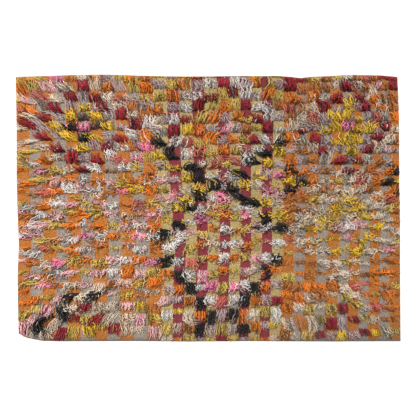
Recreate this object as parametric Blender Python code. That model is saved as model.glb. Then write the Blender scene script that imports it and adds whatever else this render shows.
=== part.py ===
"""A tulu rug: a flat-woven wool ground with rows of long locks of yarn knotted through it.

The rug lies flat and face up, and is one solid: a flat underside, the woven ground with its bare
selvage, a mound of pile over each knot, and locks of yarn that lean out over the rim.
Metres, +Z up. +X runs along the long sides and +Y from the near edge to the far one. The origin
is on the surface that the rug lies on, under the middle of the rug.
"""

import random

import bpy
import bmesh
import numpy as np

NODE = "tulu_rug"

# Driving dimensions
RUG_LENGTH = 1.920      # corner to corner along a long side
RUG_WIDTH = 1.330       # corner to corner along a short side
SKEW = 0.016            # how much further along X the near edge lies than the far one
GROUND = 0.005          # thickness of the woven ground
SELVAGE = 0.012         # bare ground outside the outermost knots

# The pile: rows of knots run along X, one knot to each warp stripe
ROWS = 24
CREST = 0.026           # how far a mound rises over the ground, as a mean
CREST_SPREAD = 0.007
CREST_SWELL = 0.004     # slow rise and fall of the pile across the rug
SADDLE = 0.012          # pile between two mounds of one row
SADDLE_SPREAD = 0.003
PARTING = 0.003         # pile over the ground between two rows
PARTING_SPREAD = 0.002
WANDER = 0.005          # how far a mound strays from its knot
FALL = 0.007            # how far the crests near the rim fall outwards

# Warp stripes in the three compartments, with each compartment's share of the length
STRIPES = (
    # name, stripes, share at the far edge, share at the near edge
    ("west", 11, 0.344, 0.372),
    ("middle", 11, 0.360, 0.326),
    ("east", 11, 0.296, 0.302),
)

# The four edges, as small shifts of a straight line from corner to corner, in metres
FAR_EDGE = (
    # share of the length, shift along +Y
    (0.00, 0.000), (0.17, 0.0106), (0.24, 0.0118), (0.33, 0.006), (0.42, 0.0027), (0.48, 0.002),
    (0.55, 0.0045), (0.68, 0.0053), (0.72, 0.0005), (0.745, -0.0061), (0.77, 0.0003),
    (0.825, 0.0045), (0.88, 0.0112), (0.955, 0.0073), (1.00, 0.000),
)
NEAR_EDGE = (
    # share of the length, shift along +Y; the west end is worn away on a slant
    (0.00, 0.0370), (0.03, 0.0135), (0.06, 0.002), (0.12, 0.000), (0.30, 0.0010), (0.45, -0.0008),
    (0.60, 0.0010), (0.80, -0.0010), (1.00, 0.000),
)
WEST_EDGE = (
    # share of the width from the near edge, shift along +X
    (0.00, 0.000), (0.10, -0.0025), (0.23, -0.0029), (0.35, 0.0055), (0.47, 0.0010),
    (0.60, -0.0017), (0.80, 0.0014), (1.00, 0.000),
)
EAST_EDGE = (
    # share of the width from the near edge, shift along +X
    (0.00, 0.000), (0.23, 0.0015), (0.46, 0.0045), (0.61, 0.0033), (0.80, 0.0058), (1.00, 0.000),
)

# Locks at the rim: four-sided, from the outer slope of a rim mound to a tip near the edge
LOCK_CHANCE = 0.62      # share of the rim slopes that throw a lock
OVERHANG_CHANCE = 0.30  # share of the locks that reach past the edge and rest on the floor
LOCK_SWAY = 0.004
LOCK_STAGES = (
    # distance inside the edge, height of the middle, width, thickness
    (0.0140, 0.0190, 0.015, 0.010),
    (0.0015, 0.0120, 0.010, 0.008),
)
TIP_ON_GROUND = (
    (-0.0020, 0.0100, 0.005, 0.004),
)
TIP_ON_FLOOR = (
    (-0.0055, 0.0025, 0.008, 0.005),
    (-0.0110, 0.0020, 0.005, 0.004),
)

# The quad at the middle of the underside, as shares of the length and the width
UNDERSIDE_PANEL = (0.40, 0.36)

SEED = 24
WOOL_COLOUR = (0.62, 0.30, 0.12, 1.0)
WOOL_ROUGHNESS = 0.9


def column(table, index):
    """Return one column of a table as an array."""
    return np.array([row[index] for row in table])


def shift(table, share):
    """Read an edge's table at a share of its length."""
    return np.interp(share, column(table, 0), column(table, 1))


def rug_point(u, v):
    """Place a point at shares u of the length and v of the width, both from the south-west corner."""
    x = (u - 0.5) * RUG_LENGTH + (0.5 - v) * SKEW
    y = (v - 0.5) * RUG_WIDTH
    x = x + (1.0 - u) * shift(WEST_EDGE, v) + u * shift(EAST_EDGE, v)
    y = y + (1.0 - v) * shift(NEAR_EDGE, u) + v * shift(FAR_EDGE, u)
    return x, y


def with_selvage(lines, size):
    """Fit lines from 0 to 1 inside the selvage, and add the two outer edges."""
    margin = SELVAGE / size
    inside = margin + lines * (1.0 - 2.0 * margin)
    return np.concatenate(([0.0], inside, [1.0]))


def stripe_lines(share_index):
    """Return the edge and the middle of each warp stripe, as shares of the length."""
    lines = [0.0]
    for stripe in STRIPES:
        half = stripe[share_index] / stripe[1] / 2.0
        for _ in range(2 * stripe[1]):
            lines.append(lines[-1] + half)
    lines = np.array(lines)
    return with_selvage(lines / lines[-1], RUG_LENGTH)


def row_lines():
    """Return the middle of each row of knots and the partings beside it, as shares of the width."""
    return with_selvage(np.linspace(0.0, 1.0, 2 * ROWS + 1), RUG_WIDTH)


def grid_places():
    """Return x and y of the top's grid; the rows of the arrays run from the near edge to the far."""
    v = row_lines()[:, None]
    u = (1.0 - v) * stripe_lines(3)[None, :] + v * stripe_lines(2)[None, :]
    return rug_point(u, v * np.ones_like(u))


def pile_heights(shape, rng):
    """Give each grid point its height: crests over the knots, saddles and partings between them."""
    rows, columns = shape
    over_row = (np.arange(rows) % 2 == 0)[:, None]
    over_stripe = (np.arange(columns) % 2 == 0)[None, :]
    stray = rng.uniform(-1.0, 1.0, shape)
    swell = np.sin(np.linspace(0.0, 7.0, columns))[None, :] * np.cos(np.linspace(0.5, 5.0, rows))[:, None]
    crest = CREST + CREST_SPREAD * stray + CREST_SWELL * swell
    saddle = SADDLE + SADDLE_SPREAD * stray
    parting = PARTING + PARTING_SPREAD * stray
    pile = np.where(over_row, np.where(over_stripe, crest, saddle), parting)
    pile[:2, :] = 0.0
    pile[-2:, :] = 0.0
    pile[:, :2] = 0.0
    pile[:, -2:] = 0.0
    return GROUND + pile


def top_points(rng):
    """Return the points of the top as an array of rows by columns by 3."""
    x, y = grid_places()
    z = pile_heights(x.shape, rng)
    loose = (z - GROUND) / CREST
    x = x + loose * (FALL * x / RUG_LENGTH * 2.0 + WANDER * rng.uniform(-1.0, 1.0, x.shape))
    y = y + loose * (FALL * y / RUG_WIDTH * 2.0 + WANDER * rng.uniform(-1.0, 1.0, x.shape))
    return np.stack((x, y, z), axis=2)


class Shell:
    """The points and faces of the rug's closed surface, as they are added."""

    def __init__(self, top):
        self.rows, self.columns = top.shape[:2]
        self.points = [tuple(point) for point in top.reshape(-1, 3)]
        self.faces = []

    def top_id(self, i, j):
        """Return the number of the grid point in column i and row j."""
        return j * self.columns + i

    def add_point(self, point):
        """Add a point and return its number."""
        self.points.append(tuple(point))
        return len(self.points) - 1

    def corners(self, i, j):
        """Return the four corners of a cell of the top, anticlockwise from its near west one."""
        return [self.top_id(i, j), self.top_id(i + 1, j), self.top_id(i + 1, j + 1), self.top_id(i, j + 1)]


def rim_cells(shell):
    """Yield each outer slope that may throw a lock: its cell, its turn and its edge's grid points."""
    last_i = shell.columns - 3
    last_j = shell.rows - 3
    for i in range(2, last_i):
        yield (i, 1), 0, ((i, 0), (i + 1, 0))
        yield (i, last_j), 2, ((i, last_j + 2), (i + 1, last_j + 2))
    for j in range(2, last_j):
        yield (last_i, j), 1, ((last_i + 2, j), (last_i + 2, j + 1))
        yield (1, j), 3, ((0, j), (0, j + 1))


def section(middle, side, width, thickness):
    """Return a lock's four corners around its middle, from the lower left one as seen from outside."""
    up = np.array((0.0, 0.0, thickness / 2.0))
    across = side * width / 2.0
    return (middle - across - up, middle + across - up, middle + across + up, middle - across + up)


def add_lock(shell, cell, turn, edge, draw):
    """Grow one four-sided lock from a rim slope, out and down to its tip."""
    outward = np.array(((0.0, -1.0, 0.0), (1.0, 0.0, 0.0), (0.0, 1.0, 0.0), (-1.0, 0.0, 0.0))[turn])
    side = np.array((-outward[1], outward[0], 0.0))
    edge_middle = sum(np.array(shell.points[shell.top_id(*place)]) for place in edge) / 2.0
    base = shell.corners(*cell)
    ring = base[turn:] + base[:turn]
    tip = TIP_ON_FLOOR if draw.random() < OVERHANG_CHANCE else TIP_ON_GROUND
    sway = draw.uniform(-LOCK_SWAY, LOCK_SWAY)
    for step, (inside, height, width, thickness) in enumerate(LOCK_STAGES + tip):
        middle = edge_middle - outward * inside + side * sway * step
        middle[2] = height
        corners = section(middle, side, width, thickness)
        new_ring = [shell.add_point(corner) for corner in corners]
        for k in range(4):
            after = (k + 1) % 4
            shell.faces.append((ring[k], ring[after], new_ring[after], new_ring[k]))
        ring = new_ring
    shell.faces.append(tuple(ring))


def add_top(shell, draw):
    """Close the top: a quad for each cell, or a lock where a rim slope throws one."""
    locks = {}
    for cell, turn, edge in rim_cells(shell):
        if draw.random() < LOCK_CHANCE:
            locks[cell] = (turn, edge)
    for j in range(shell.rows - 1):
        for i in range(shell.columns - 1):
            if (i, j) not in locks:
                shell.faces.append(tuple(shell.corners(i, j)))
    for cell, (turn, edge) in locks.items():
        add_lock(shell, cell, turn, edge, draw)


def rim_sides(shell):
    """Return the grid points of the four sides, each from corner to corner, anticlockwise."""
    last_i = shell.columns - 1
    last_j = shell.rows - 1
    near = [(i, 0) for i in range(last_i + 1)]
    east = [(last_i, j) for j in range(last_j + 1)]
    far = [(i, last_j) for i in range(last_i, -1, -1)]
    west = [(0, j) for j in range(last_j, -1, -1)]
    return near, east, far, west


def add_side_and_underside(shell):
    """Drop the ground's edge to the floor and close the flat underside round a middle panel."""
    low = {}
    for side in rim_sides(shell):
        for place in side:
            if place not in low:
                x, y, _ = shell.points[shell.top_id(*place)]
                low[place] = shell.add_point((x, y, 0.0))
    reach_x = UNDERSIDE_PANEL[0] * RUG_LENGTH
    reach_y = UNDERSIDE_PANEL[1] * RUG_WIDTH
    panel = [
        shell.add_point((sign_x * reach_x, sign_y * reach_y, 0.0))
        for sign_x, sign_y in ((-1, -1), (1, -1), (1, 1), (-1, 1))
    ]
    shell.faces.append(tuple(reversed(panel)))
    for number, side in enumerate(rim_sides(shell)):
        start = panel[number]
        end = panel[(number + 1) % 4]
        half = len(side) // 2
        for k in range(len(side) - 1):
            here, after = side[k], side[k + 1]
            shell.faces.append((low[here], low[after], shell.top_id(*after), shell.top_id(*here)))
            hub = start if k < half else end
            shell.faces.append((low[after], low[here], hub))
        shell.faces.append((low[side[half]], start, end))


def wool():
    """Return the plain dyed wool of the solid."""
    material = bpy.data.materials.new("wool")
    material.use_nodes = True
    shader = material.node_tree.nodes["Principled BSDF"]
    shader.inputs["Base Color"].default_value = WOOL_COLOUR
    shader.inputs["Roughness"].default_value = WOOL_ROUGHNESS
    shader.inputs["Metallic"].default_value = 0.0
    return material


def build_rug():
    """Model the whole rug as one closed mesh, with its box centred on the origin."""
    draw = random.Random(SEED)
    shell = Shell(top_points(np.random.default_rng(SEED)))
    add_top(shell, draw)
    add_side_and_underside(shell)
    points = np.array(shell.points)
    middle = (points.min(axis=0) + points.max(axis=0)) / 2.0
    points[:, :2] -= middle[:2]

    mesh = bpy.data.meshes.new(NODE)
    mesh.from_pydata(points.tolist(), [], shell.faces)
    mesh.update()
    form = bmesh.new()
    form.from_mesh(mesh)
    bmesh.ops.recalc_face_normals(form, faces=form.faces)
    form.to_mesh(mesh)
    form.free()
    rug = bpy.data.objects.new(NODE, mesh)
    rug.data.materials.append(wool())
    bpy.context.scene.collection.objects.link(rug)


def main():
    """Clear the scene and build the rug."""
    for leftover in list(bpy.data.objects):
        bpy.data.objects.remove(leftover, do_unlink=True)
    build_rug()


main()
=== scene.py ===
"""Looks of a tulu rug: a striped wool ground with locks of yarn knotted through it in diamonds.

Metres, +Z up. +X runs along the long sides and +Y from the near edge to the far one. The rug lies
face up on z = 0, with the middle of its box over the origin.
"""

import math
from types import SimpleNamespace

import bpy
import numpy as np
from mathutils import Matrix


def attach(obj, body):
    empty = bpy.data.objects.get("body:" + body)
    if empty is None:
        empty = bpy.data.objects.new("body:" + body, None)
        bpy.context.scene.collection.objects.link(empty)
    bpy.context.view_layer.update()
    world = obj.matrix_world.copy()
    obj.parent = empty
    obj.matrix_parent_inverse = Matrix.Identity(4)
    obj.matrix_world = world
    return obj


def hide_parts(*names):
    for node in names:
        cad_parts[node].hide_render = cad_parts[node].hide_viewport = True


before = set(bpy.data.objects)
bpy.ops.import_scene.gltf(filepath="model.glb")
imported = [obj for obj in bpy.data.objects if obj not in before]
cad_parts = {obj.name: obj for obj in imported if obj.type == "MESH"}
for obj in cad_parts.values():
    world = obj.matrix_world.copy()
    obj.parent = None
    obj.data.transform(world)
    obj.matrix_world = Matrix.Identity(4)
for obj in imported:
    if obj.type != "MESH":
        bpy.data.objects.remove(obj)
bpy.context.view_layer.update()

bl_info = {
    "name": "Tulu Rug",
    "version": (1, 0, 0),
    "blender": (4, 5, 0),
    "location": "3D View > Sidebar > Tulu Rug",
    "description": "Weaves a tulu rug's striped ground and knots its pile",
    "category": "Mesh",
}

NODE = "tulu_rug"
SEED = 24

# How far the rug's own middle lies from the origin, where its box is centred
RUG_SHIFT = np.array((-0.0003, -0.0055))

# Warp stripes in the three compartments
STRIPES = (
    # compartment, stripes, width of an even stripe as a share of an even and an odd one together
    ("west", 11, 0.525), ("middle", 11, 0.515), ("east", 11, 0.520),
)
STRIPE_COUNT = sum(row[1] for row in STRIPES)
MIDDLE_STRIPE = 5

# Where the warp, drawn aside here and there, passes the compartments' middles and ends
WARP_LINES = (
    # share of the width from the far edge, then as shares of the length the west compartment's
    # middle and end, the middle one's middle and end, and the east one's middle
    (0.0, 0.175, 0.359, 0.542, 0.701, 0.870), (0.3, 0.180, 0.364, 0.543, 0.698, 0.866),
    (0.65, 0.183, 0.380, 0.542, 0.692, 0.854), (1.0, 0.178, 0.373, 0.533, 0.685, 0.844),
)

# How far the edges stray from straight lines between the corners: a share of the length from the
# west end and a shift along +Y, or a share of the width from the near edge and a shift along +X
FAR_EDGE = (
    (0.0, 0.0), (0.17, 0.0106), (0.24, 0.0118), (0.33, 0.006), (0.42, 0.0027), (0.48, 0.002),
    (0.55, 0.0045), (0.68, 0.0053), (0.72, 0.0005), (0.745, -0.0061), (0.77, 0.0003),
    (0.825, 0.0045), (0.88, 0.0112), (0.955, 0.0073), (1.0, 0.0),
)
NEAR_EDGE = (
    # the west end is worn away on a slant
    (0.0, 0.037), (0.03, 0.0135), (0.06, 0.002), (0.12, 0.0), (0.3, 0.001), (0.45, -0.0008),
    (0.6, 0.001), (0.8, -0.001), (1.0, 0.0),
)
WEST_EDGE = (
    (0.0, 0.0), (0.1, -0.0025), (0.23, -0.0029), (0.35, 0.0055), (0.47, 0.001),
    (0.6, -0.0017), (0.8, 0.0014), (1.0, 0.0),
)
EAST_EDGE = (
    (0.0, 0.0), (0.23, 0.0015), (0.46, 0.0045), (0.61, 0.0033), (0.8, 0.0058), (1.0, 0.0),
)

# Rows of knots and how far from the far edge they are tied; the rows between are evenly spaced
KNOT_ROWS = {
    "west": ((0, 0.033), (5, 0.267), (10, 0.536), (16, 0.838), (20, 1.067), (23, 1.249)),
    "middle": ((0, 0.007), (10, 0.569), (13, 0.7), (14, 0.762), (22, 1.302)),
    "east": ((0, 0.026), (5, 0.272), (10, 0.534), (15, 0.77), (20, 1.042), (21, 1.085), (24, 1.269)),
}
LAST_KNOT = 0.006  # least distance of a knot from the near edge, as a share of the width

# Slumps, where the rows of knots sag towards the near edge, and the places where they rise
SLUMPS = (
    # middle as shares of the length and of the width from the far edge, reach along and across as
    # such shares, depth
    (0.03, 0.72, 0.18, 0.13, 0.044), (0.18, 0.16, 0.10, 0.12, 0.013),
    (0.44, 0.45, 0.06, 0.22, 0.018), (0.87, 0.24, 0.10, 0.12, 0.018),
    (0.58, 0.32, 0.05, 0.08, -0.010), (0.77, 0.72, 0.10, 0.12, -0.009),
    (0.23, 0.97, 0.05, 0.07, -0.020),
)

# The design is of concentric diamonds: a knot's ring is its distance in stripes and rows from the
# nearest diamond's middle, which is the middle stripe of a compartment on one of these rows
DIAMOND_ROWS = {"west": (5, 15, 25), "middle": (5, 15, 25), "east": (5, 15, 26)}
RINGS = (
    # compartment, first row, last row, dyes of the rings from the middle outwards
    ("west", 0, 9, "rose black yellow lavender wine cream rust pink olive orange rust"),
    ("west", 10, 19, "pink white orange olive pink white orange pink olive orange cream"),
    ("west", 20, 23, "pink black yellow olive wine cream black pink olive orange cream"),
    ("middle", 0, 4, "pink lavender orange olive wine white lavender orange olive lavender olive"),
    ("middle", 5, 9, "pink lavender orange olive wine white black yellow lavender pink olive"),
    ("middle", 10, 14, "white white orange olive pink white black yellow cream pink olive"),
    ("middle", 15, 19, "white white orange olive pink white black orange lavender pink white"),
    ("middle", 20, 22, "pink wine orange wine olive lavender black orange cream olive white"),
    ("east", 0, 4, "rose yellow yellow lavender wine cream rust rust rust wine wine"),
    ("east", 5, 9, "rose yellow yellow lavender wine cream rust lavender orange black yellow"),
    ("east", 10, 11, "white pink olive yellow cream cream rust cream orange black yellow"),
    ("east", 12, 20, "white pink olive yellow cream cream rust rust orange rust rust"),
    ("east", 21, 24, "rose yellow yellow lavender wine olive cream rust cream orange orange"),
)
# Where the two halves of a diamond differ
ODD_RINGS = (
    # compartment, half, first row, last row, ring, dye
    ("west", 1, 0, 4, 7, "lavender"), ("west", 1, 0, 9, 1, "charcoal"),
    ("west", -1, 4, 4, 1, "charcoal"), ("west", -1, 15, 15, 0, "rose"),
    ("west", -1, 23, 23, 6, "cream"), ("west", 1, 5, 9, 5, "white"),
    ("west", -1, 20, 23, 10, "orange"), ("west", 1, 21, 23, 6, "cream"),
    ("middle", 1, 15, 19, 9, "wine"), ("middle", -1, 6, 9, 4, "salmon"),
    ("middle", 1, 7, 9, 4, "salmon"), ("middle", -1, 22, 22, 6, "olive"),
    ("middle", 1, 22, 22, 6, "olive"), ("east", -1, 4, 4, 4, "salmon"),
    ("east", 1, 4, 4, 4, "salmon"), ("east", -1, 14, 14, 1, "cream"),
    ("east", 1, 21, 24, 8, "rust"),
)

# Some of a dye's knots are tied in yarn of another dye that lay at hand
KIN = {
    # dye: (other dye, share of the knots), ...
    "rust": (("orange", 0.14), ("salmon", 0.1), ("olive", 0.14), ("pink", 0.06)),
    "pink": (("rose", 0.07), ("salmon", 0.06), ("white", 0.1)),
    "white": (("cream", 0.1),),
    "orange": (("rust", 0.12),),
    "olive": (("yellow", 0.1),),
}
ROSY = 0.7  # largest share of a pink knot's strands that are rose
STRAY_DYES = 0.05  # share of the strands that are of the next knot's dye

# How a dye's yarn lies and wears, as shares of the usual
HABITS = {
    # dye: depth of its waves, reach, loft, thickness, fading
    "orange": (0.8, 0.95, 1.0, 1.05, 0.2), "rust": (0.8, 0.95, 0.9, 1.0, 0.6),
    "yellow": (0.95, 1.0, 1.1, 1.1, 0.6), "olive": (0.9, 1.0, 0.9, 1.0, 0.7),
    "cream": (1.15, 1.08, 0.9, 0.92, 0.0), "white": (1.25, 1.12, 1.0, 0.9, 0.0),
    "lavender": (1.0, 0.9, 0.7, 0.95, 0.7), "pink": (0.95, 0.95, 0.9, 1.05, 1.0),
    "rose": (0.85, 1.0, 1.3, 1.3, 0.3), "salmon": (0.9, 0.95, 1.0, 1.05, 1.0),
    "wine": (0.7, 0.98, 1.4, 1.25, 0.1), "charcoal": (0.8, 1.0, 1.2, 1.35, 0.3),
    "black": (0.85, 1.02, 1.3, 1.35, 0.0),
}
DYES = tuple(HABITS)
PINK, ROSE, BLACK = (DYES.index(name) for name in ("pink", "rose", "black"))

# How the locks are combed: how far their ends lie from their knots, in millimetres, at these shares
# of the length and at the share of the width from the far edge that begins each row
LEAN_SHARES = (0.0, 0.05, 0.115, 0.18, 0.27, 0.545, 0.80, 0.93, 1.0)
LEAN_ALONG = (
    (0.03, -74, -62, -30, 2, -28, 0, -4, -6, 4),
    (0.13, -90, -76, -34, 2, -22, 0, -6, -8, 6),
    (0.21, -88, -80, -38, -2, -2, 0, -2, -4, 12),
    (0.32, -84, -76, -42, -16, -8, -4, 4, 18, 24),
    (0.42, -78, -74, -62, -44, -24, -8, 10, 32, 32),
    (0.58, -62, -60, -48, -30, -16, 0, 12, 34, 38),
    (0.80, -52, -46, -40, -42, -20, -8, 5, 26, 34),
    (0.89, -26, -20, -20, -10, -6, -10, 2, 24, 30),
    (0.97, -26, -18, -12, -4, 0, -12, -2, 22, 24),
)
LEAN_ACROSS = (
    (0.03, 60, 60, 58, 54, 54, 52, 52, 52, 50),
    (0.13, 54, 54, 54, 54, 54, 52, 52, 52, 50),
    (0.21, 34, 38, 42, 48, 50, 50, 50, 48, 42),
    (0.32, 8, 14, 34, 46, 48, 46, 42, 36, 24),
    (0.42, 0, 2, 6, 10, 14, 26, 24, 16, 10),
    (0.58, -4, -4, -6, -10, -16, -14, 14, 14, 6),
    (0.80, -8, -12, -20, -24, -38, -50, -42, -22, -6),
    (0.89, -42, -52, -57, -57, -58, -60, -54, -36, -20),
    (0.97, -56, -70, -80, -82, -80, -78, -74, -66, -54),
)
LEAN_RANGE = (0.75, 1.2)  # least and most of a lock's lean, as shares of that
LEAN_STRAY = 0.008  # how far its ends stray besides

# What changes from the far edge to the near one, as pairs of a share of the width and a value:
# how far the lean turns aside at random, in radians
LEAN_TURN = ((0.0, 0.17), (0.25, 0.26), (0.4, 0.34), (0.5, 0.34), (0.75, 0.2), (1.0, 0.14))
# how far a lock's ends spread, as a share of the usual
SPREAD = ((0.0, 0.78), (0.3, 0.9), (0.45, 1.1), (0.7, 1.0), (0.85, 0.8), (1.0, 0.7))
# and how much a strand curls, as a share of the usual
CURL = ((0.0, 0.9), (0.25, 1.0), (0.45, 1.3), (0.75, 1.4), (1.0, 1.2))

# Locks that lie apart from their neighbours, most of them black
ODD_LOCKS = {
    # stripe, row, lean along +X and +Y in millimetres, bow to the left of it as a share of its
    # reach, and spread as a share of the usual
    "west": (
        (5, 4, -6, 32, 0, 0.9), (4, 5, -22, 26, 0, 1), (5, 5, -8, 30, 0, 0.7),
        (6, 5, 0, 30, 0, 0.9), (5, 6, -4, 30, 0, 0.9), (4, 20, -48, -28, -0.15, 1.2),
        (6, 20, -58, -36, -0.1, 1.2), (3, 21, 10, -58, 0.1, 1.1), (2, 22, -40, -82, -0.35, 0.6),
    ),
    "middle": (
        (0, 6, -40, 22, 0.15, 1.3), (10, 6, 12, 14, 0.1, 1.2), (1, 7, -36, 44, 0.2, 1),
        (9, 7, -32, 24, 0.1, 1.2), (2, 8, 34, 20, 0.25, 0.9), (8, 8, -42, 34, 0.1, 1.3),
        (3, 9, -8, 62, 0.15, 1), (7, 9, -62, 30, -0.05, 1.2), (4, 10, 8, 46, -0.2, 1.1),
        (6, 10, -34, 22, 0.1, 1.3), (3, 10, 4, 36, 0, 0.8), (3, 11, -14, 40, 0.1, 1.3),
        (7, 11, -62, 46, 0.1, 1), (1, 12, 6, 26, 0, 0.9), (2, 12, -12, 8, 0.1, 1.2),
        (8, 12, -58, 18, -0.2, 1), (1, 13, 22, -34, -0.2, 1), (9, 13, -44, -16, 0.25, 1.6),
        (0, 14, -42, -22, -0.25, 1.6), (10, 14, 12, -26, 0.2, 1.5), (0, 16, -30, -12, 0.2, 1.2),
        (10, 16, 4, -26, 0.3, 1.5), (1, 17, 14, -54, 0, 1), (9, 17, -26, -22, 0.3, 1.2),
        (2, 18, 10, -58, 0, 1), (8, 18, -6, -58, 0, 1), (3, 19, 2, -60, 0, 1),
        (7, 19, -8, -56, 0.1, 1.3), (4, 20, -24, -64, 0.05, 1), (6, 20, -20, -52, 0.05, 1.1),
        (3, 21, -8, -54, 0, 1), (7, 21, -6, -54, 0, 1),
    ),
    "east": ((0, 9, 8, 16, 0.1, 0.8), (1, 10, 6, 26, 0.1, 0.7), (0, 11, 6, 16, 0.2, 0.8)),
}
CLUMPS = 7  # clumps that the strands of a black lock hang together in
CLUMP_SCATTER = 0.0022
LOOSENESS = (0.7, 1.25)  # least and most of a lock's own spread, as such a share
# A lean of this much along and across the rug combs the strands together by the next two shares
COMBING_LEAN = (0.075, 0.052)
COMBING = (0.35, 0.62)
COMBED_MOST = 0.36  # least share left of a combed lock's spread
DRAWN_LEAN = (0.050, 0.085)  # lean from which a lock is drawn out thin, and where it fully is
DRAWN_FLAT, DRAWN_THIN = 0.35, 0.25  # how much lower and how much thinner that makes it
BEND = 0.13  # how far a lock bows aside, as a share of its reach

# Wear: locks are worn short and thin, away from the far edge
VIGOUR = (0.74, 1.2)  # least and most of a lock's reach, as a share of the usual
WORN = 0.12  # share of the locks that are worn
WORN_SIDES = 0.45  # added to it in the first and the last stripe
WORN_EAST = 0.25  # added in the near half of the east compartment
WORN_REACH, WORN_THICKNESS = 0.55, 0.75  # what a worn lock keeps of them
UNWORN_FROM = (0.85, 0.65)  # shares of the width where wear begins and where it is full
EAST_FROM, EAST_NEAR_FROM = (0.70, 0.80), (0.50, 0.30)  # the same for the east, along and across
SIDE_FROM = 0.465  # share of the length from the middle to the side stripes

# A strand
STATIONS, SIDES = 9, 3  # points along it, and sides of its section
TAPER = 0.35  # share of its thickness that it loses by its tip
TWIST = 1.5  # turn of its section along it, in radians
KNOT_WIDTH = 0.92  # as a share of its stripe's
ROOT_STRAY = (0.002, 0.003)  # how far a strand's root strays along and across the rug
KNOT_STRAY = 0.005  # how far a whole knot strays across it
CROWDING = (0.85, 0.5)  # power of the draw of a tip's splay, and of one's in a clump
WAVES = (1.5, 2.7)  # least and most waves along a strand
WAVE_RANGE = (0.4, 1.4)  # least and most of their depth, as a share of the usual
WAVE_LIFT = 0.6  # how far a wave lifts the strand, as a share of its depth
SLACK_WAVES = 0.085  # depth that a metre of slack adds to the waves
HOOK, HOOK_FROM = 0.006, 0.6  # how far a tip hooks aside, and from which share of the strand
SHORT_REACH = 0.03  # reach below which a strand's waves and arch shrink with it
SHORT_LEAST = 0.3
ARCH_POWER = 1.2
LIFT = (0.18, 1.1)  # least arch of a strand as a share of the loft, and what a draw adds
PERCH = 0.6  # most that a tip rests on the strands below, as a share of the loft
# Heights over the ground, as shares of the yarn: a root's, and the least and most a tip adds
ROOT_REST = 0.2
TIP_REST = (0.2, 1.6)
LOWEST = (0.5, 0.3)  # shares of the ground and of the yarn that a strand stays above
LIFT_POWER = 2.2  # power of the draw of a strand's arch

# The rim, which no strand passes
RIM_MARGIN = 0.004
RIM_RISE = 0.55  # how steeply the pile may rise inwards from the rim
PILE_TOP = 0.040  # how high a strand's middle line may rise

# Looks of the yarn
TONE_SPREAD = (0.10, 0.34)  # how far a lock's and a strand's tone stray
TONE, BLOTCH, PLY, UNLIT, BRIGHTEST = 1.56, 0.25, 0.18, 0.05, 1.30  # what makes up its shade
PLY_TURNS = 90.0  # in a metre
FADED = (0.62, 0.50, 0.38)  # what the yarn fades towards
FADING = (0.10, 0.16)  # how far it fades all along, and besides at the tip
SHEEN = {"Sheen Weight": 0.12, "Sheen Roughness": 0.5, "Specular IOR Level": 0.2}

# Looks of the ground
STREAK, FADE, RIB, SLUB, BARE = 0.55, 0.60, 0.12, 2.3, -0.84  # what makes up its shade
FRAY = 0.10  # how far a stripe's edge wanders, in stripes
WARP_THREADS = 20.0  # in a stripe
WEFT_PITCH = 0.0045
OVERCAST = (0.12, 0.17, 0.19)  # slate-blue stitches that still hold parts of the rim
OVERCAST_NEAR = 0.007  # how far they reach in from the near edge
OVERCAST_WEST = (0.15, 0.30)  # in from the west edge, in stripes, and up from the near one

# Painted shade, which darkens all the wool and most of all the near rim: it stands in for the
# light falling off towards the east end and for the shadow along the near rim
UNSHADED = 1.05
PAINTED_SHADE = (
    # axis, where the painted shade begins along it and where it is full, how much it darkens
    (0, -0.48, 0.32, 0.16), (1, -0.4333, -0.60, 0.08), (1, -0.635, -0.66, 0.20),
)

# Ground cloth
CELLS_PER_STRIPE, CELLS_ALONG = 4, 110
GROUND_SWELL = 0.0010  # slow rise and fall of the cloth's face
GROUND_RIB = 0.0005  # its rise in the middle of a warp stripe
SELVAGE = 0.008
RIM_THICKNESS = 0.55  # of the turned rim, as a share of the cloth's

# Baking charts: the low corner and the size of each patch
FACE_PATCH = ((0.01, 0.01), (0.98, 0.47))
BACK_PATCH = ((0.01, 0.51), (0.98, 0.47))
RIM_PATCH = ((0.01, 0.985), (0.98, 0.01))
WALL_PATCH = ((0.06, 0.05), (0.88, 0.78))
ROOT_PATCH = ((0.08, 0.88), (0.36, 0.08))
TIP_PATCH = ((0.54, 0.88), (0.36, 0.08))

# Camera, floor and light
CAMERA_HEIGHT = 2.2
FRAME_WIDTH = 2.0946  # what the picture takes in across the floor
FRAME_MIDDLE = np.array((-0.0008, 0.0053))
FLOOR_REACH = 14.0
FLOOR_DROP = 0.0004  # how far the floor lies under the rug
FLOOR_PAINT = (0.93, 0.93, 0.93)
ROOM_LIGHT = 0.43
SUN_LIGHT = 3.35
SUN_WIDTH = math.radians(7.0)
SUN_TURN = (math.radians(-27.0), math.radians(-12.0), 0.0)

TINY = 1e-6  # keeps a division by no length in bounds


def read(table, place):
    """Read a table of pairs at a place, between its rows."""
    return np.interp(place, *np.array(table).T)


def ramp(value, start, end):
    """Return how far a value lies from start to end, held between 0 and 1."""
    return np.clip((value - start) / (end - start), 0.0, 1.0)


def linear(srgb):
    """Turn an 8-bit screen colour into the linear one that shaders take."""
    share = np.array(srgb) / 255.0
    low = share / 12.92
    high = ((share + 0.055) / 1.055) ** 2.4
    return tuple(np.where(share <= 0.04045, low, high).tolist())


def colour(name, srgb, use="Pile yarn"):
    """Return a colour property with a screen colour as its default."""
    return bpy.props.FloatVectorProperty(
        name=name, description=use, default=linear(srgb), subtype="COLOR", min=0.0, max=1.0
    )


def length(name, description, default):
    """Return a length property in metres."""
    return bpy.props.FloatProperty(
        name=name, description=description, default=default, min=0.0, unit="LENGTH"
    )


class RugSizes(bpy.types.PropertyGroup):
    """Sizes of the woven ground."""

    length: length("Length", "Long side, from corner to corner", 1.920)
    width: length("Width", "Short side, from corner to corner", 1.330)
    skew: length("Skew", "Shift of the near edge along X from the far one", 0.016)
    ground: length("Ground", "Thickness of the woven ground", 0.0042)


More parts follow.
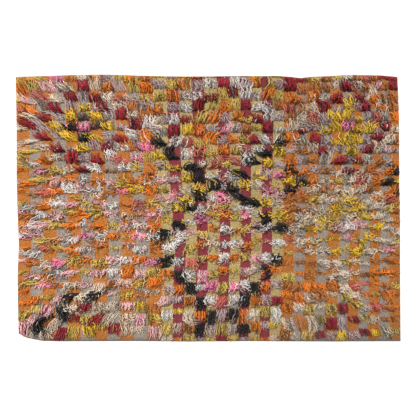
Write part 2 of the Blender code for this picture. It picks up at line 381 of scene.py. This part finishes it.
class RugPile(bpy.types.PropertyGroup):
    """Sizes of the knotted pile."""

    yarn: length("Yarn", "Thickness of a strand of pile yarn", 0.0043)
    strand: length("Strand", "Length of a strand, from knot to tip", 0.082)
    splay: length("Splay", "How far a lock's ends spread about its middle", 0.052)
    loft: length("Loft", "How high a lock arches over the ground", 0.021)
    crimp: length("Crimp", "Least depth of a strand's waves", 0.0020)
    strands: bpy.props.IntProperty(
        name="Strands", description="Strands of yarn in a lock", default=22, min=4, max=24
    )


class RugColours(bpy.types.PropertyGroup):
    """Dyes of the ground's stripes and of the pile."""

    terracotta: colour("Terracotta", (174, 108, 50), "Outer compartments' even stripes")
    grey: colour("Grey", (148, 135, 123), "Outer compartments' odd stripes")
    khaki: colour("Khaki", (174, 152, 102), "Middle compartment's even stripes")
    maroon: colour("Maroon", (131, 54, 60), "Middle compartment's odd stripes")
    orange: colour("Orange", (230, 126, 20))
    rust: colour("Rust", (192, 114, 36))
    yellow: colour("Yellow", (234, 192, 28))
    olive: colour("Olive", (209, 179, 80))
    cream: colour("Cream", (222, 204, 182))
    white: colour("White", (226, 219, 211))
    lavender: colour("Lavender", (189, 165, 163))
    pink: colour("Pink", (227, 180, 180))
    rose: colour("Rose", (244, 134, 170))
    salmon: colour("Salmon", (208, 98, 84))
    wine: colour("Wine", (154, 22, 40))
    charcoal: colour("Charcoal", (96, 80, 72))
    black: colour("Black", (31, 25, 26))


def rug_point(sizes, u, v):
    """Place points on the ground: straight lines from corner to corner, plus the edges' shifts.

    x = (u - 1/2) length + (1/2 - v) skew + the west and east shifts, weighed by 1 - u and u.
    y = (v - 1/2) width + the near and far shifts, weighed by 1 - v and v.
    """
    x = (u - 0.5) * sizes.length + (0.5 - v) * sizes.skew
    y = (v - 0.5) * sizes.width
    x = x + (1.0 - u) * read(WEST_EDGE, v) + u * read(EAST_EDGE, v)
    y = y + (1.0 - v) * read(NEAR_EDGE, u) + v * read(FAR_EDGE, u)
    return x + RUG_SHIFT[0], y + RUG_SHIFT[1]


def stripe_lines():
    """Return each stripe's edge, as a position between the warp lines from 0 to 6."""
    lines = [0.0]
    for index, (_, count, even) in enumerate(STRIPES):
        weights = np.where(np.arange(count) % 2 == 0, even, 1.0 - even)
        lines.extend(2.0 * index + 2.0 * np.cumsum(weights) / weights.sum())
    return np.array(lines)


def between_rows(table, down, along, steps):
    """Read a table at shares down the width and along the length, between its rows."""
    rows = np.array([np.interp(along, steps, row[1:]) for row in table])
    at = np.interp(down, [row[0] for row in table], np.arange(len(table)))
    above = np.minimum(at.astype(int), len(table) - 2)
    first = np.take_along_axis(rows, above[None], 0)[0]
    second = np.take_along_axis(rows, above[None] + 1, 0)[0]
    return first + (second - first) * (at - above)


def stripe_u(position, v):
    """Turn a position counted in stripes into a share of the length at share v."""
    along = np.interp(position, np.arange(STRIPE_COUNT + 1), stripe_lines())
    along, v = np.broadcast_arrays(along, v)
    table = [(row[0], 0.0, *row[1:], 1.0) for row in WARP_LINES]
    return between_rows(table, 1.0 - v, along, np.arange(7))


def new_object(name, data):
    """Put an object into the scene."""
    item = bpy.data.objects.new(name, data)
    bpy.context.scene.collection.objects.link(item)
    return item


def new_mesh(name, points, corners, sizes):
    """Put points, the faces' corners and the count of each face's into a new mesh object."""
    mesh = bpy.data.meshes.new(name)
    mesh.vertices.add(len(points))
    mesh.vertices.foreach_set("co", points.astype(np.float32).ravel())
    mesh.loops.add(len(corners))
    mesh.loops.foreach_set("vertex_index", corners.astype(np.int32))
    starts = np.concatenate(([0], np.cumsum(sizes)[:-1]))
    mesh.polygons.add(len(sizes))
    mesh.polygons.foreach_set("loop_start", starts.astype(np.int32))
    mesh.polygons.foreach_set("use_smooth", np.ones(len(sizes), bool))
    mesh.update(calc_edges=True)
    return new_object(name, mesh)


def set_map(mesh, name, places):
    """Add a UV map that gives each face corner its place."""
    mesh.uv_layers.new(name=name).uv.foreach_set("vector", places.astype(np.float32).ravel())


def set_value(mesh, name, values):
    """Add a number to each point of a mesh."""
    mesh.attributes.new(name, "FLOAT", "POINT").data.foreach_set("value", values.astype(np.float32))


def patch_places(patch, shares):
    """Place points in a chart's patch, at shares of its two sides."""
    return np.array(patch[0]) + np.array(patch[1]) * shares


def math_node(operation):
    """Return a method that puts a value, and others, through one Math node."""

    def method(value, *others):
        inputs = dict(enumerate((value, *others)))
        return value.shader.value("ShaderNodeMath", {"operation": operation}, inputs)

    return method


class Value:
    """A number that varies over a surface, and what Math nodes make of it.

    Over gives 1 where it is greater than another value, and under the lesser of the two.
    """

    def __init__(self, shader, socket):
        self.shader = shader
        self.socket = socket

    __add__ = __radd__ = math_node("ADD")
    __sub__ = math_node("SUBTRACT")
    __mul__ = __rmul__ = math_node("MULTIPLY")
    __mod__ = math_node("FLOORED_MODULO")
    over = math_node("GREATER_THAN")
    under = math_node("MINIMUM")
    sine = math_node("SINE")

    def __rsub__(self, other):
        return self * -1.0 + other

    def clamp(self):
        """Return the value held between 0 and 1."""
        return self.shader.value("ShaderNodeClamp", {}, {"Value": self})


class Shader:
    """One material and its nodes."""

    def __init__(self, name):
        self.material = bpy.data.materials.new(name)
        self.material.use_nodes = True
        self.tree = self.material.node_tree
        self.surface = self.tree.nodes["Principled BSDF"]

    def node(self, kind, settings=None, inputs=None):
        """Add a node, make its settings, then fill its sockets with values or links."""
        node = self.tree.nodes.new(kind)
        for key, setting in (settings or {}).items():
            setattr(node, key, setting)
        for key, value in (inputs or {}).items():
            self.feed(node.inputs[key], value)
        return node

    def feed(self, socket, value):
        """Fill one socket with a link, a colour or a value."""
        value = getattr(value, "socket", value)
        if isinstance(value, bpy.types.NodeSocket):
            self.tree.links.new(value, socket)
        elif socket.type == "RGBA":
            socket.default_value = (*value, 1.0)
        else:
            socket.default_value = value

    def value(self, kind, settings=None, inputs=None, output=0):
        """Add a node and return one of its outputs as a value."""
        return Value(self, self.node(kind, settings, inputs).outputs[output])

    def noise(self, place, scale, detail=2.0, roughness=0.5):
        """Return smooth noise from 0 to 1 at a place."""
        inputs = {"Vector": place, "Scale": scale, "Detail": detail, "Roughness": roughness}
        return self.value("ShaderNodeTexNoise", {}, inputs)

    def mix(self, share, first, second, blend="MIX"):
        """Mix two colours; share 0 is the first and 1 the second."""
        settings = {"data_type": "RGBA", "blend_type": blend}
        return self.node("ShaderNodeMix", settings, {0: share, 6: first, 7: second}).outputs[2]

    def object_place(self):
        """Return the place in the rug's own frame."""
        return self.node("ShaderNodeTexCoord").outputs["Object"]

    def coordinates(self, place):
        """Return a place's coordinates as values."""
        parts = self.node("ShaderNodeSeparateXYZ", {}, {0: place})
        return [Value(self, socket) for socket in parts.outputs]

    def map_place(self, name):
        """Return the two coordinates of a UV map."""
        return self.coordinates(self.node("ShaderNodeUVMap", {"uv_map": name}).outputs[0])[:2]

    def join(self, *parts):
        """Join three coordinates into one place."""
        return self.node("ShaderNodeCombineXYZ", {}, dict(enumerate(parts))).outputs[0]

    def attribute(self, name):
        """Return a number that the mesh's points carry."""
        return self.value("ShaderNodeAttribute", {"attribute_name": name}, {}, "Fac")

    def painted_shade(self, place):
        """Return how brightly the wool is painted: painted shade darkens it towards the east end and
        the near rim.
        """
        parts = self.coordinates(place)
        lit = UNSHADED
        for axis, start, full, darkening in PAINTED_SHADE:
            slope = 1.0 / (full - start)
            lit = lit - (parts[axis] * slope - start * slope).clamp() * darkening
        return lit

    def shaded(self, base, shade):
        """Darken or lighten a colour by a shade, where 1 leaves it as it is."""
        return self.mix(1.0, base, self.join(shade, shade, shade), "MULTIPLY")

    def bump(self, height, distance, strength):
        """Raise the surface by a height, and return the new normal."""
        inputs = {"Height": height, "Distance": distance, "Strength": strength}
        return self.node("ShaderNodeBump", {}, inputs).outputs[0]

    def finish(self, looks):
        """Feed the surface its looks, by the names of its sockets."""
        for name, value in looks.items():
            self.feed(self.surface.inputs[name], value)
        return self.material


def ground_wool(colours):
    """Return the striped, finely ribbed wool of the ground."""
    shader = Shader("ground_wool")
    across, along = shader.map_place("weave")
    place = shader.object_place()
    base = stripe_colours(shader, colours, across + (shader.noise(place, 60.0, 3.0) - 0.5) * FRAY)

    thread = (across * (math.tau * WARP_THREADS)).sine()
    rib = thread * (along * (math.tau / WEFT_PITCH)).sine() * 0.5 + 0.5
    streak = shader.noise(shader.join(across * 9.0, along * 3.0, 0.0), 1.0, 3.0, 0.6)
    fade = shader.noise(place, 9.0, 3.0, 0.6)
    slub = shader.noise(shader.join(across * 7.5, along * 150.0, 0.0), 1.0, 2.0, 0.7)
    shade = streak * STREAK + fade * FADE + rib * RIB + slub * SLUB + BARE
    # Painted shade darkens the ground towards the east end and the near rim
    base = shader.shaded(base, shade * shader.painted_shade(place))
    base = shader.mix(overcast(shader, across, along, place), base, OVERCAST)
    normal = shader.bump(rib * 0.5 + shader.noise(place, 400.0) * 0.6, 0.0012, 0.8)
    looks = {"Base Color": base, "Roughness": 0.92 - rib * 0.05, "Normal": normal}
    return shader.finish(looks | SHEEN)


def stripe_colours(shader, colours, stripe):
    """Return the dye of the warp at a position counted in stripes."""
    west_end = STRIPES[0][1]
    middle_end = west_end + STRIPES[1][1]
    odd = (stripe % west_end % 2.0).over(1.0)
    inner = stripe.over(west_end) - stripe.over(middle_end)
    outer_dye = shader.mix(odd, colours.terracotta, colours.grey)
    inner_dye = shader.mix(odd, colours.khaki, colours.maroon)
    return shader.mix(inner, outer_dye, inner_dye)


def overcast(shader, across, along, place):
    """Return where overcast stitches cover the rim: on the near edge and by its west end."""
    dash = shader.noise(shader.join(across * 3.0, 0.0, 0.0), 1.0).over(0.5)
    near = dash * (OVERCAST_NEAR - along).over(0.0)
    edge = (OVERCAST_WEST[0] - across).over(0.0) * (OVERCAST_WEST[1] - along).over(0.0)
    west = edge * shader.noise(place, 55.0, 1.0).over(0.5)
    return (near + west).clamp()


def pile_wool(name, dye, fading):
    """Return the plied, uneven wool yarn of one dye, whose paler strands fade to their tips."""
    shader = Shader("pile_" + name)
    around, along = shader.map_place("yarn")
    tone, tip = shader.attribute("tone"), shader.attribute("tip")
    place = shader.object_place()
    blotch = shader.noise(place, 70.0)
    ply = ((around + along * PLY_TURNS) * math.tau).sine() * 0.5 + 0.5
    shade = (tone * TONE + blotch * BLOTCH + ply * PLY + UNLIT).under(BRIGHTEST)
    pale = (tone * FADING[0] + tip * tone * FADING[1]) * fading
    base = shader.mix(pale, dye, FADED)
    # Painted shade darkens the yarn towards the east end and the near rim
    base = shader.shaded(base, shade * shader.painted_shade(place))
    normal = shader.bump(ply, 0.0006, 0.7)
    looks = {"Base Color": base, "Roughness": 0.94 - ply * 0.06, "Normal": normal}
    return shader.finish(looks | SHEEN)


def floor_paint():
    """Return the plain pale floor's finish."""
    looks = {"Base Color": FLOOR_PAINT, "Roughness": 1.0, "Specular IOR Level": 0.0}
    return Shader("floor_paint").finish(looks)


def weave_ground(sizes):
    """Make the ground: a grid over the rug, and the same grid on the floor, joined at the rim.

    The face's height is the thickness plus slow waves and a rib on each stripe, and falls off at
    the rim, where the cloth is turned.
    """
    position = np.linspace(0.0, STRIPE_COUNT, STRIPE_COUNT * CELLS_PER_STRIPE + 1)
    v, p = np.meshgrid(np.linspace(0.0, 1.0, CELLS_ALONG + 1), position, indexing="ij")
    x, y = rug_point(sizes, stripe_u(p, v), v)
    swell = np.sin(x * 9.0 + 1.0) * np.cos(y * 11.0) + 0.6 * np.sin(x * 23.0 - y * 17.0)
    rib = np.abs(np.sin(p * math.pi))
    inset_x = np.minimum(p, STRIPE_COUNT - p) * sizes.length / STRIPE_COUNT
    inset_y = np.minimum(v, 1.0 - v) * sizes.width
    turned = ramp(np.minimum(inset_x, inset_y), 0.0, SELVAGE)
    face = sizes.ground * (RIM_THICKNESS + (1.0 - RIM_THICKNESS) * turned)
    face = face + (GROUND_SWELL * swell + GROUND_RIB * rib) * turned
    top = np.stack((x, y, face), axis=2).reshape(-1, 3)
    points = np.concatenate((top, top * (1.0, 1.0, 0.0)))

    count = v.size
    number = np.arange(count).reshape(v.shape)
    cells = [number[:-1, :-1], number[:-1, 1:], number[1:, 1:], number[1:, :-1]]
    faces = np.stack([part.ravel() for part in cells], axis=1)
    rim = np.concatenate((number[0, :-1], number[:-1, -1], number[-1, :0:-1], number[:0:-1, 0]))
    after = np.roll(rim, -1)
    sides = np.stack((rim + count, after + count, after, rim), axis=1)
    corners = np.concatenate((faces, faces[:, ::-1] + count, sides))
    ground = new_mesh("ground", points, corners.ravel(), np.full(len(corners), 4))

    shares = np.stack((p.ravel() / STRIPE_COUNT, v.ravel()), axis=1)[corners.ravel() % count]
    set_map(ground.data, "weave", shares * (STRIPE_COUNT, sizes.width))
    corner = np.arange(sides.size)
    step = (corner // 4 + (corner % 4 % 3 > 0)) / len(sides)
    bake = (
        patch_places(FACE_PATCH, shares[:faces.size]),
        patch_places(BACK_PATCH, shares[faces.size:2 * faces.size]),
        patch_places(RIM_PATCH, np.stack((step, corner % 4 > 1), axis=1)),
    )
    set_map(ground.data, "OFBake", np.concatenate(bake))
    return ground


def ring_dye(compartment, stripe, row):
    """Return the dye of the knot on a stripe and a row of a compartment."""
    half = 1 if stripe > MIDDLE_STRIPE else -1
    down = min(abs(row - middle) for middle in DIAMOND_ROWS[compartment])
    ring = abs(stripe - MIDDLE_STRIPE) + down
    for name, side, first, last, odd_ring, dye in ODD_RINGS:
        if (name, side, odd_ring) == (compartment, half, ring) and first <= row <= last:
            return dye
    for name, first, last, dyes in RINGS:
        if name == compartment and first <= row <= last:
            return dyes.split()[ring]
    raise ValueError(f"no dye for {compartment} {stripe} {row}")


def kin_dye(dye, chance):
    """Return the dye that a knot is tied in, for a chance from 0 to 1."""
    for other, share in KIN.get(dye, ()):
        if chance < share:
            return other
        chance -= share
    return dye


def row_sag(along, down):
    """Return how far a row of knots sags at a share of the length and one of the width.

    Each slump adds its depth times exp(-(a^2 + b^2) / 2), where a and b are the distances from its
    middle over its reach, along and across the rug.
    """
    sag = 0.0
    for middle_along, middle_down, reach_along, reach_down, depth in SLUMPS:
        a = (along - middle_along) / reach_along
        b = (down - middle_down) / reach_down
        sag += depth * math.exp(-(a * a + b * b) / 2.0)
    return sag


def plan_knots(sizes, rng):
    """List every lock: where it is knotted, its stripe's width, its dye and a neighbour's."""
    knots = []
    first_stripe = 0
    for compartment, count, _ in STRIPES:
        rows = KNOT_ROWS[compartment]
        for row in range(rows[-1][0] + 1):
            level = 1.0 - read(rows, row) / sizes.width
            for stripe in range(count):
                middle = stripe_u(np.array((first_stripe + stripe + 0.5,)), level)[0]
                v = max(level - row_sag(middle, 1.0 - level) / sizes.width, LAST_KNOT)
                ends = stripe_u(first_stripe + stripe + np.array((0.0, 0.5, 1.0)), v)
                x, y = rug_point(sizes, ends, v)
                dye = DYES.index(kin_dye(ring_dye(compartment, stripe, row), rng.random()))
                beside = int(np.clip(stripe + rng.choice((-1, 1)), 0, count - 1))
                stray = DYES.index(ring_dye(compartment, beside, row))
                knots.append(((x[1], y[1]), (ends[1], v), x[2] - x[0], dye, stray))
        first_stripe += count
    return [np.array(values) for values in zip(*knots)]


def lean_of(places, shares, rng):
    """Return each lock's lean: the tables', turned and stretched a little, and a stray of its own."""
    down = 1.0 - shares[:, 1]
    lean_x = between_rows(LEAN_ALONG, down, shares[:, 0], LEAN_SHARES) / 1000.0
    lean_y = between_rows(LEAN_ACROSS, down, shares[:, 0], LEAN_SHARES) / 1000.0
    size = np.hypot(lean_x, lean_y) * rng.uniform(*LEAN_RANGE, len(places))
    angle = np.arctan2(lean_y, lean_x) + rng.normal(0.0, 1.0, len(places)) * read(LEAN_TURN, down)
    lean = np.stack((np.cos(angle), np.sin(angle)), axis=1) * size[:, None]
    return lean + rng.normal(0.0, LEAN_STRAY, (len(places), 2))


def rim_room(sizes, place):
    """Return how far places lie inside the west, east, near and far edges."""
    x, y = place[..., 0], place[..., 1]
    u = np.clip((x - RUG_SHIFT[0]) / sizes.length + 0.5, 0.0, 1.0)
    v = np.clip((y - RUG_SHIFT[1]) / sizes.width + 0.5, 0.0, 1.0)
    west, east = [rug_point(sizes, end, v)[0] for end in (0.0, 1.0)]
    near, far = [rug_point(sizes, u, end)[1] for end in (0.0, 1.0)]
    return x - west, east - x, y - near, far - y


def hold_inside(sizes, base, span):
    """Shorten each strand that would pass the rim, so that it stops just inside."""
    west, east, near, far = rim_room(sizes, base)
    room_x = np.where(span[:, 0] > 0.0, east, west) - RIM_MARGIN
    room_y = np.where(span[:, 1] > 0.0, far, near) - RIM_MARGIN
    room = np.maximum(np.stack((room_x, room_y), axis=1), RIM_MARGIN)
    share = np.min(room / (np.abs(span) + TINY), axis=1)
    return span * np.minimum(share, 1.0)[:, None]


def worn_locks(shares, rng):
    """Choose the worn locks, at their shares of the length and the width."""
    away = ramp(shares[:, 1], *UNWORN_FROM)
    east = ramp(shares[:, 0], *EAST_FROM) * ramp(shares[:, 1], *EAST_NEAR_FROM)
    sides = np.abs(shares[:, 0] - 0.5) > SIDE_FROM
    return rng.random(len(shares)) < (WORN + WORN_SIDES * sides) * away + WORN_EAST * east


def plan_locks(sizes, rng):
    """Work out what a lock's strands share: its place, lean, dye, habits, bow and wear."""
    places, shares, widths, dyes, strays = plan_knots(sizes, rng)
    lean = lean_of(places, shares, rng)
    waves, reach, loft, thickness, _ = np.array(list(HABITS.values()))[dyes].T
    vigour = rng.uniform(*VIGOUR, len(places)) * reach
    worn = worn_locks(shares, rng) & (dyes != BLACK)
    vigour[worn] *= WORN_REACH
    drawn = ramp(np.linalg.norm(lean, axis=1), *DRAWN_LEAN) * (dyes != BLACK)
    bend = rng.normal(0.0, BEND, len(places))
    down = 1.0 - shares[:, 1]
    spread = read(SPREAD, down)
    first = 0
    for compartment, count, _ in STRIPES:
        for stripe, row, along, across, bow, wide in ODD_LOCKS[compartment]:
            number = first + row * count + stripe
            lean[number] = along / 1000.0, across / 1000.0
            bend[number] = bow
            spread[number] = wide
            vigour[number] = reach[number]
        first += count * (KNOT_ROWS[compartment][-1][0] + 1)
    return SimpleNamespace(
        places=places, widths=widths, dyes=dyes, strays=strays, lean=lean, waves=waves,
        vigour=vigour, bend=bend, spread=spread, curl=read(CURL, down),
        loft=loft * (1.0 - DRAWN_FLAT * drawn),
        thickness=thickness * np.where(worn, WORN_THICKNESS, 1.0) * (1.0 - DRAWN_THIN * drawn),
    )


def list_strands(locks, count):
    """List every strand: its lock, its number in it, whether it hangs in a clump, and its leader.

    A strand shares its leader's draws: a black lock's hang behind a few, and others lead themselves.
    """
    lock = np.repeat(np.arange(len(locks.places)), count)
    member = np.tile(np.arange(count), len(locks.places))
    clumped = locks.dyes[lock] == BLACK
    leader = lock * count + np.where(clumped, member % CLUMPS, member)
    return SimpleNamespace(lock=lock, member=member, clumped=clumped, leader=leader)


def strand_spans(sizes, pile, locks, strands, rng):
    """Return where each strand is knotted, and how far its tip lies from there.

    A tip lies at its lock's lean plus a splay of its own, which is less the more it is combed.
    """
    lock, leader, total = strands.lock, strands.leader, len(strands.lock)
    aside = (strands.member + 0.5) / pile.strands - 0.5
    base = locks.places[lock].copy()
    base[:, 0] += aside * locks.widths[lock] * KNOT_WIDTH + rng.normal(0.0, ROOT_STRAY[0], total)
    base[:, 1] += rng.normal(0.0, ROOT_STRAY[1], total)
    base[:, 1] += rng.normal(0.0, KNOT_STRAY, len(locks.places))[lock]
    angle = rng.uniform(0.0, math.tau, total)[leader]
    pull = np.abs(locks.lean[lock]) / COMBING_LEAN
    left = np.clip(1.0 - COMBING[0] * pull[:, 0] - COMBING[1] * pull[:, 1], COMBED_MOST, 1.0)
    loose = rng.uniform(*LOOSENESS, len(locks.places))[lock]
    share = rng.random(total)[leader] ** np.where(strands.clumped, CROWDING[1], CROWDING[0])
    radius = pile.splay * left * locks.spread[lock] * loose * share
    splay = np.stack((np.cos(angle), np.sin(angle)), axis=1) * radius[:, None]
    splay += rng.normal(0.0, CLUMP_SCATTER, (total, 2)) * strands.clumped[:, None]
    return base, hold_inside(sizes, base, (locks.lean[lock] + splay) * locks.vigour[lock][:, None])


def strand_waves(pile, locks, strands, reach, short, t, rng):
    """Return how far each strand lies aside of its straight line at shares t, and its waves' lift.

    A wave of depth c turns round the line, by c sin(a) across and c cos(a) up, where a grows with t.
    It is deeper the shorter a strand reaches, since its yarn is as long. The tip hooks aside, and
    the lock bows by 4 t (1 - t).
    """
    lock, leader, total = strands.lock, strands.leader, len(strands.lock)
    turns = rng.uniform(*WAVES, total)[leader][:, None]
    angle = math.tau * (turns * t + rng.random(total)[leader][:, None])
    slack = np.clip(pile.strand * locks.vigour[lock] - reach, 0.0, None)
    depth = (pile.crimp + SLACK_WAVES * slack) * locks.curl[lock] * locks.waves[lock]
    depth = (depth * rng.uniform(*WAVE_RANGE, total))[:, None] * ramp(t, 0.0, 0.25) * short
    hook = rng.normal(0.0, HOOK, total)[leader][:, None] * ramp(t, HOOK_FROM, 1.0) ** 2 * short
    bow = (locks.bend[lock] * reach)[:, None] * 4.0 * t * (1.0 - t)
    return depth * np.sin(angle) + hook + bow, WAVE_LIFT * depth * np.cos(angle)


def strand_heights(sizes, pile, locks, strands, short, t, rng):
    """Return each strand's height at shares t before its waves: where it rests, plus its arch.

    The arch is loft (4 t (1 - t))^1.2, and some tips perch on the strands below.
    """
    lock, total = strands.lock, len(strands.lock)
    lift = LIFT[0] + LIFT[1] * rng.random(total) ** LIFT_POWER
    loft = (pile.loft * locks.loft[lock] * lift)[:, None] * short
    perch = rng.uniform(0.0, PERCH, len(locks.places))[lock][:, None] * t
    rest = sizes.ground + pile.yarn * (ROOT_REST + rng.uniform(*TIP_REST, total)[:, None] * t)
    return rest + loft * ((4.0 * t * (1.0 - t)) ** ARCH_POWER + perch)


def strand_lines(sizes, pile, locks, strands, rng):
    """Work out the middle line of every strand, as strands by stations by 3.

    At share t a strand lies at base + span t, plus its waves and its height. It stays inside the
    rim and under a roof that rises inwards from there.
    """
    base, span = strand_spans(sizes, pile, locks, strands, rng)
    reach = np.linalg.norm(span, axis=1)
    t = np.linspace(0.0, 1.0, STATIONS)[None, :]
    short = np.maximum(ramp(reach, 0.0, SHORT_REACH), SHORT_LEAST)[:, None]
    aside, wave_lift = strand_waves(pile, locks, strands, reach, short, t, rng)
    height = strand_heights(sizes, pile, locks, strands, short, t, rng) + wave_lift
    along = span / (reach[:, None] + TINY)
    across = np.stack((-along[:, 1], along[:, 0]), axis=1)
    line = np.empty((len(span), STATIONS, 3))
    line[:, :, :2] = base[:, None, :] + span[:, None, :] * t[:, :, None]
    line[:, :, :2] += across[:, None, :] * aside[:, :, None]
    west, east, near, far = [np.clip(RIM_MARGIN - room, 0.0, None) for room in rim_room(sizes, line)]
    line[:, :, 0] += west - east
    line[:, :, 1] += near - far
    inside = np.clip(np.min(rim_room(sizes, line), axis=0), 0.0, None)
    roof = np.minimum(sizes.ground + pile.yarn + RIM_RISE * inside, PILE_TOP)
    floor = sizes.ground * LOWEST[0] + pile.yarn * LOWEST[1]
    line[:, :, 2] = np.clip(height, floor, roof)
    return line


def strand_looks(pile, locks, strands, rng):
    """Return each strand's dye, tone and thickness."""
    lock, total = strands.lock, len(strands.lock)
    dye = np.where(rng.random(total) < STRAY_DYES, locks.strays[lock], locks.dyes[lock])
    rosy = ROSY * rng.random(len(locks.places)) ** 2
    dye[(dye == PINK) & (rng.random(total) < rosy[lock])] = ROSE
    tone = 0.5 + rng.normal(0.0, TONE_SPREAD[0], len(locks.places))[lock]
    tone = np.clip(tone + rng.normal(0.0, TONE_SPREAD[1], total), 0.0, 1.0)
    return dye, tone, pile.yarn * locks.thickness[lock]


def spin_strands(name, line, tone, thickness):
    """Make strands of yarn: a three-sided section carried along each line, closed at both ends.

    It is square to the line, tapers towards the tip and twists on from a turn of its own.
    """
    strands = len(line)
    heading = np.gradient(line, axis=1)
    heading /= np.linalg.norm(heading, axis=2, keepdims=True) + 1e-9
    side = np.cross(heading, (0.0, 0.0, 1.0))
    side /= np.linalg.norm(side, axis=2, keepdims=True) + 1e-9
    up = np.cross(side, heading)
    t = np.linspace(0.0, 1.0, STATIONS)
    radius = thickness[:, None] / 2.0 * (1.0 - TAPER * t**3)
    turn = np.arange(SIDES) / SIDES * math.tau + t[:, None] * TWIST
    turn = (turn + np.arange(strands)[:, None, None])[..., None]
    ring = side[:, :, None, :] * np.cos(turn) + up[:, :, None, :] * np.sin(turn)
    points = line[:, :, None, :] + ring * radius[:, :, None, None]

    number = np.arange(strands * STATIONS * SIDES).reshape(strands, STATIONS, SIDES)
    around, along = wall_steps()
    walls = number[:, along, around % SIDES]
    corners = np.concatenate((walls, number[:, 0, ::-1], number[:, -1, :]), axis=1)
    faces = np.concatenate((np.full((STATIONS - 1) * SIDES, 4), (SIDES, SIDES)))
    piece = new_mesh(name, points.reshape(-1, 3), corners.ravel(), np.tile(faces, strands))
    set_value(piece.data, "tone", np.repeat(tone, STATIONS * SIDES))
    set_value(piece.data, "tip", np.tile(np.repeat(t, SIDES), strands))
    set_map(piece.data, "yarn", yarn_places(line))
    set_map(piece.data, "OFBake", cell_places(strands))
    return piece


def wall_steps():
    """Return the steps around and along a strand of each corner of its wall's faces."""
    wall = np.arange((STATIONS - 1) * SIDES)
    step, side = wall // SIDES, wall % SIDES
    around = np.stack((side, side + 1, side + 1, side), axis=1).ravel()
    along = np.stack((step, step, step + 1, step + 1), axis=1).ravel()
    return around, along


def yarn_places(line):
    """Map each corner to its turn round the yarn and its distance along it, in metres."""
    start = np.zeros((len(line), 1))
    gaps = np.linalg.norm(np.diff(line, axis=1), axis=2)
    distance = np.concatenate((start, np.cumsum(gaps, axis=1)), axis=1)
    around, along = wall_steps()
    walls = np.stack((around / SIDES + start, distance[:, along]), axis=2)
    caps = np.repeat(distance[:, (0, -1)], SIDES, axis=1)
    caps = np.stack((np.zeros_like(caps), caps), axis=2)
    return np.concatenate((walls, caps), axis=1).reshape(-1, 2)


def cell_places(strands):
    """Map each strand to its own cell of a square chart, its two caps above its wall."""
    around, along = wall_steps()
    wall = np.stack((around / SIDES, along / (STATIONS - 1)), axis=1)
    cap = ((0.0, 0.0), (1.0, 0.0), (0.5, 1.0))
    parts = (WALL_PATCH, wall), (ROOT_PATCH, cap), (TIP_PATCH, cap)
    cell = np.concatenate([patch_places(patch, shares) for patch, shares in parts])
    per_side = math.ceil(math.sqrt(strands))
    index = np.arange(strands)
    origin = np.stack((index % per_side, index // per_side), axis=1)
    return ((origin[:, None, :] + cell) / per_side).reshape(-1, 2)


class MakeGround(bpy.types.Operator):
    """Weave the striped ground cloth"""

    bl_idname = "tulu_rug.make_ground"
    bl_label = "Weave Ground"

    def execute(self, context):
        ground = weave_ground(context.scene.rug_sizes)
        ground.data.materials.append(ground_wool(context.scene.rug_colours))
        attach(ground, "root")
        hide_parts(NODE)
        return {"FINISHED"}


class MakePile(bpy.types.Operator):
    bl_idname = "tulu_rug.make_pile"
    bl_label = "Knot Pile"

    def execute(self, context):
        scene = context.scene
        sizes, pile = scene.rug_sizes, scene.rug_pile
        rng = np.random.default_rng(SEED)
        locks = plan_locks(sizes, rng)
        strands = list_strands(locks, pile.strands)
        line = strand_lines(sizes, pile, locks, strands, rng)
        dye, tone, thickness = strand_looks(pile, locks, strands, rng)
        for index, name in enumerate(DYES):
            chosen = dye == index
            piece = spin_strands("pile_" + name, line[chosen], tone[chosen], thickness[chosen])
            wool = pile_wool(name, getattr(scene.rug_colours, name), HABITS[name][4])
            piece.data.materials.append(wool)
            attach(piece, "root")
        return {"FINISHED"}


class SetStage(bpy.types.Operator):
    """Lay a plain floor, light it softly and place the camera above the rug"""

    bl_idname = "tulu_rug.set_stage"
    bl_label = "Set Stage"

    def execute(self, context):
        scene = context.scene
        corners = np.array(((-1, -1, 0), (1, -1, 0), (1, 1, 0), (-1, 1, 0))) * FLOOR_REACH
        floor = new_mesh("floor", corners - (0.0, 0.0, FLOOR_DROP), np.arange(4), [4])
        floor.data.materials.append(floor_paint())

        world = bpy.data.worlds.new("soft_room")
        world.use_nodes = True
        background = world.node_tree.nodes["Background"]
        background.inputs["Color"].default_value = (1.0, 1.0, 1.0, 1.0)
        background.inputs["Strength"].default_value = ROOM_LIGHT
        scene.world = world
        scene.view_settings.view_transform = "Standard"

        key = bpy.data.lights.new("key", "SUN")
        key.energy = SUN_LIGHT
        key.angle = SUN_WIDTH
        new_object("key", key).rotation_euler = SUN_TURN

        lens = bpy.data.cameras.new("camera")
        lens.lens = lens.sensor_width * CAMERA_HEIGHT / FRAME_WIDTH
        scene.camera = new_object("camera", lens)
        scene.camera.location = (*(FRAME_MIDDLE + RUG_SHIFT), CAMERA_HEIGHT)
        return {"FINISHED"}


class RugPanel(bpy.types.Panel):
    """List the rug's sizes, colours and steps"""

    bl_idname = "VIEW3D_PT_tulu_rug"
    bl_label = "Tulu Rug"
    bl_space_type = "VIEW_3D"
    bl_region_type = "UI"
    bl_category = "Tulu Rug"

    def draw(self, context):
        for operator in OPERATORS:
            self.layout.operator(operator.bl_idname)
        for name, group in GROUPS.items():
            box = self.layout.box()
            for field in group.__annotations__:
                box.prop(getattr(context.scene, name), field)


GROUPS = {"rug_sizes": RugSizes, "rug_pile": RugPile, "rug_colours": RugColours}
OPERATORS = (MakeGround, MakePile, SetStage)
CLASSES = (*GROUPS.values(), *OPERATORS, RugPanel)


def register():
    """Add the rug's classes and its groups of properties."""
    for item in CLASSES:
        bpy.utils.register_class(item)
    for name, group in GROUPS.items():
        setattr(bpy.types.Scene, name, bpy.props.PointerProperty(type=group))


def unregister():
    """Take the rug's groups and classes away again."""
    for name in GROUPS:
        delattr(bpy.types.Scene, name)
    for item in reversed(CLASSES):
        bpy.utils.unregister_class(item)


def main():
    """Build the rug and its stage."""
    register()
    bpy.ops.tulu_rug.make_ground()
    bpy.ops.tulu_rug.make_pile()
    bpy.ops.tulu_rug.set_stage()


if __name__ == "__main__":
    main()
